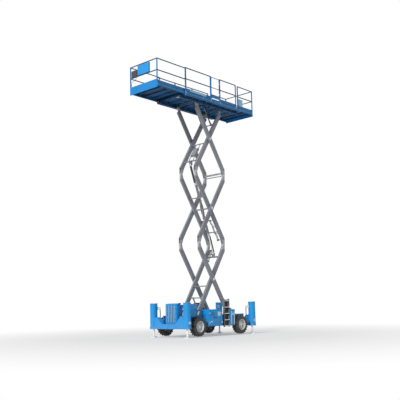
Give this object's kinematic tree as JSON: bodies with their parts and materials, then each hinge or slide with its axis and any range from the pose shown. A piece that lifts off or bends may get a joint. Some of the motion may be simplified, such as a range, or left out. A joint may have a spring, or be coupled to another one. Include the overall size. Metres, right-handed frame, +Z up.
{
  "type": "rough terrain scissor lift with outriggers",
  "caption": "Four-wheel scissor lift with hydraulic outriggers, crossed arm stack, and a railed platform with a roll-out deck at each end, shown raised.",
  "frame": {"origin": "on the ground below the middle of the raised machine", "axes": "+Z up, -X towards the steering end and the platform controls, +Y the side away from the entry ladder"},
  "size_m": [6.71, 2.39, 12.0296],
  "materials": {
    "frame_blue": "gloss",
    "arm_grey": "semi-gloss",
    "deck_blue": "gloss",
    "rail_blue": "gloss",
    "dark_steel": "satin",
    "bare_steel": "satin",
    "chrome_rod": "polished",
    "tyre_rubber": "matte",
    "rim_white": "gloss",
    "engine_iron": "matte",
    "control_plastic": "matte",
    "cylinder_grey": "semi-gloss"
  },
  "bodies": {
    "chassis": {"chassis_frame": "frame_blue", "outrigger_beams": "frame_blue", "axles": "dark_steel", "fuel_tank": "frame_blue", "side_cabinet": "frame_blue", "cooler_box": "frame_blue", "entry_ladder": "dark_steel"},
    "control_tray": {"control_tray": "frame_blue"},
    "engine_tray": {"engine_tray": "frame_blue", "engine_block": "engine_iron"},
    "knuckle_left": {"knuckle_left": "dark_steel"},
    "knuckle_right": {"knuckle_right": "dark_steel"},
    "wheel_front_left": {"rim_front_left": "rim_white", "tyre_front_left": "tyre_rubber"},
    "wheel_front_right": {"rim_front_right": "rim_white", "tyre_front_right": "tyre_rubber"},
    "wheel_rear_left": {"rim_rear_left": "rim_white", "tyre_rear_left": "tyre_rubber"},
    "wheel_rear_right": {"rim_rear_right": "rim_white", "tyre_rear_right": "tyre_rubber"},
    "leg_front_left": {"leg_front_left": "bare_steel"},
    "leg_front_right": {"leg_front_right": "bare_steel"},
    "leg_rear_left": {"leg_rear_left": "bare_steel"},
    "leg_rear_right": {"leg_rear_right": "bare_steel"},
    "link_lower": {"link_lower": "arm_grey"},
    "link_upper": {"link_upper": "arm_grey"},
    "arm_1_inner": {"arm_1_inner": "arm_grey"},
    "arm_1_outer": {"arm_1_outer": "arm_grey"},
    "arm_2_inner": {"arm_2_inner": "arm_grey"},
    "arm_2_outer": {"arm_2_outer": "arm_grey"},
    "arm_3_inner": {"arm_3_inner": "arm_grey"},
    "arm_3_outer": {"arm_3_outer": "arm_grey"},
    "barrel_lower": {"barrel_lower": "cylinder_grey"},
    "rod_lower": {"rod_lower": "chrome_rod"},
    "barrel_upper": {"barrel_upper": "cylinder_grey"},
    "rod_upper": {"rod_upper": "chrome_rod"},
    "platform": {"main_deck": "deck_blue", "main_guardrails": "rail_blue"},
    "entry_gate": {"entry_gate": "rail_blue"},
    "front_deck": {"front_deck": "deck_blue", "front_guardrail": "rail_blue", "control_box": "control_plastic", "manual_box": "rail_blue"},
    "rear_deck": {"rear_deck": "deck_blue", "rear_guardrail": "rail_blue"}
  },
  "joints": [
    {"name": "link_lower_turn", "type": "hinge", "parent": "chassis", "child": "link_lower", "pos_m": [0.355, 0, 0.87], "axis": [0, 1, 0], "range_deg": [-57.9, 0]},
    {"name": "arm_1_inner_turn", "type": "hinge", "parent": "link_lower", "child": "arm_1_inner", "pos_m": [-0.09765, 0, 1.69038], "axis": [0, -1, 0], "range_deg": [-115.8, 0]},
    {"name": "arm_1_outer_turn", "type": "hinge", "parent": "arm_1_inner", "child": "arm_1_outer", "pos_m": [0.355, 0, 2.51076], "axis": [0, 1, 0], "range_deg": [-115.8, 0]},
    {"name": "lift", "type": "hinge", "parent": "arm_1_inner", "child": "arm_2_inner", "pos_m": [1.2603, 0, 4.15152], "axis": [0, 1, 0], "range_deg": [-115.8, 0]},
    {"name": "arm_2_outer_turn", "type": "hinge", "parent": "arm_2_inner", "child": "arm_2_outer", "pos_m": [0.355, 0, 5.79229], "axis": [0, -1, 0], "range_deg": [-115.8, 0]},
    {"name": "arm_3_inner_turn", "type": "hinge", "parent": "arm_2_inner", "child": "arm_3_inner", "pos_m": [-0.5503, 0, 7.43305], "axis": [0, -1, 0], "range_deg": [-115.8, 0]},
    {"name": "arm_3_outer_turn", "type": "hinge", "parent": "arm_3_inner", "child": "arm_3_outer", "pos_m": [0.355, 0, 9.07381], "axis": [0, 1, 0], "range_deg": [-115.8, 0]},
    {"name": "link_upper_turn", "type": "hinge", "parent": "arm_3_inner", "child": "link_upper", "pos_m": [0.80765, 0, 9.89419], "axis": [0, 1, 0], "range_deg": [-115.8, 0]},
    {"name": "platform_level", "type": "hinge", "parent": "link_upper", "child": "platform", "pos_m": [0.355, 0, 10.71457], "axis": [0, -1, 0], "range_deg": [-57.9, 0]},
    {"name": "barrel_lower_swing", "type": "hinge", "parent": "arm_2_inner", "child": "barrel_lower", "pos_m": [0.40511, 0, 5.61832], "axis": [0, 1, 0], "range_deg": [-7.57, 0]},
    {"name": "rod_lower_slide", "type": "slide", "parent": "barrel_lower", "child": "rod_lower", "axis": [0.334, 0, -0.9426], "range_m": [-0.7341, 0]},
    {"name": "barrel_upper_swing", "type": "hinge", "parent": "arm_2_inner", "child": "barrel_upper", "pos_m": [0.30489, 0, 5.96626], "axis": [0, 1, 0], "range_deg": [-7.57, 0]},
    {"name": "rod_upper_slide", "type": "slide", "parent": "barrel_upper", "child": "rod_upper", "axis": [-0.334, 0, 0.9426], "range_m": [-0.7341, 0]},
    {"name": "front_deck_slide", "type": "slide", "parent": "platform", "child": "front_deck", "axis": [-1, 0, 0], "range_m": [-1.52, 0]},
    {"name": "rear_deck_slide", "type": "slide", "parent": "platform", "child": "rear_deck", "axis": [1, 0, 0], "range_m": [-1, 0]},
    {"name": "gate_swing", "type": "hinge", "parent": "platform", "child": "entry_gate", "pos_m": [0.74, -0.9075, 10.98957], "axis": [0, 0, -1], "range_deg": [0, 90]},
    {"name": "steer_left", "type": "hinge", "parent": "chassis", "child": "knuckle_left", "pos_m": [-1.175, 0.8, 0.455], "axis": [0, 0, 1], "range_deg": [-28, 28]},
    {"name": "steer_right", "type": "hinge", "parent": "chassis", "child": "knuckle_right", "pos_m": [-1.175, -0.8, 0.455], "axis": [0, 0, 1], "range_deg": [-28, 28]},
    {"name": "wheel_front_left_spin", "type": "hinge", "parent": "knuckle_left", "child": "wheel_front_left", "pos_m": [-1.175, 0.99, 0.455], "axis": [0, 1, 0], "continuous": true},
    {"name": "wheel_front_right_spin", "type": "hinge", "parent": "knuckle_right", "child": "wheel_front_right", "pos_m": [-1.175, -0.99, 0.455], "axis": [0, 1, 0], "continuous": true},
    {"name": "wheel_rear_left_spin", "type": "hinge", "parent": "chassis", "child": "wheel_rear_left", "pos_m": [1.665, 0.99, 0.455], "axis": [0, 1, 0], "continuous": true},
    {"name": "wheel_rear_right_spin", "type": "hinge", "parent": "chassis", "child": "wheel_rear_right", "pos_m": [1.665, -0.99, 0.455], "axis": [0, 1, 0], "continuous": true},
    {"name": "leg_front_left_slide", "type": "slide", "parent": "chassis", "child": "leg_front_left", "axis": [0, 0, 1], "range_m": [0, 0.28]},
    {"name": "leg_front_right_slide", "type": "slide", "parent": "chassis", "child": "leg_front_right", "axis": [0, 0, 1], "range_m": [0, 0.28]},
    {"name": "leg_rear_left_slide", "type": "slide", "parent": "chassis", "child": "leg_rear_left", "axis": [0, 0, 1], "range_m": [0, 0.28]},
    {"name": "leg_rear_right_slide", "type": "slide", "parent": "chassis", "child": "leg_rear_right", "axis": [0, 0, 1], "range_m": [0, 0.28]},
    {"name": "control_tray_swing", "type": "hinge", "parent": "chassis", "child": "control_tray", "pos_m": [-0.545, -1.075, 0.455], "axis": [0, 0, -1], "range_deg": [0, 90]},
    {"name": "engine_tray_swing", "type": "hinge", "parent": "chassis", "child": "engine_tray", "pos_m": [1.16, 1.075, 0.455], "axis": [0, 0, -1], "range_deg": [0, 90]}
  ],
  "couplings": [
    {"joint": "link_lower_turn", "follows": "lift", "ratio": 0.5},
    {"joint": "arm_1_inner_turn", "follows": "lift", "ratio": 1},
    {"joint": "arm_1_outer_turn", "follows": "lift", "ratio": 1},
    {"joint": "arm_2_outer_turn", "follows": "lift", "ratio": 1},
    {"joint": "arm_3_inner_turn", "follows": "lift", "ratio": 1},
    {"joint": "arm_3_outer_turn", "follows": "lift", "ratio": 1},
    {"joint": "link_upper_turn", "follows": "lift", "ratio": 1},
    {"joint": "platform_level", "follows": "lift", "ratio": 0.5},
    {"joint": "barrel_lower_swing", "follows": "lift", "ratio": 0.065288},
    {"joint": "rod_lower_slide", "follows": "lift", "m_per_rad": 0.3632},
    {"joint": "barrel_upper_swing", "follows": "lift", "ratio": 0.065288},
    {"joint": "rod_upper_slide", "follows": "lift", "m_per_rad": 0.3632},
    {"joint": "steer_right", "follows": "steer_left", "ratio": 1}
  ]
}
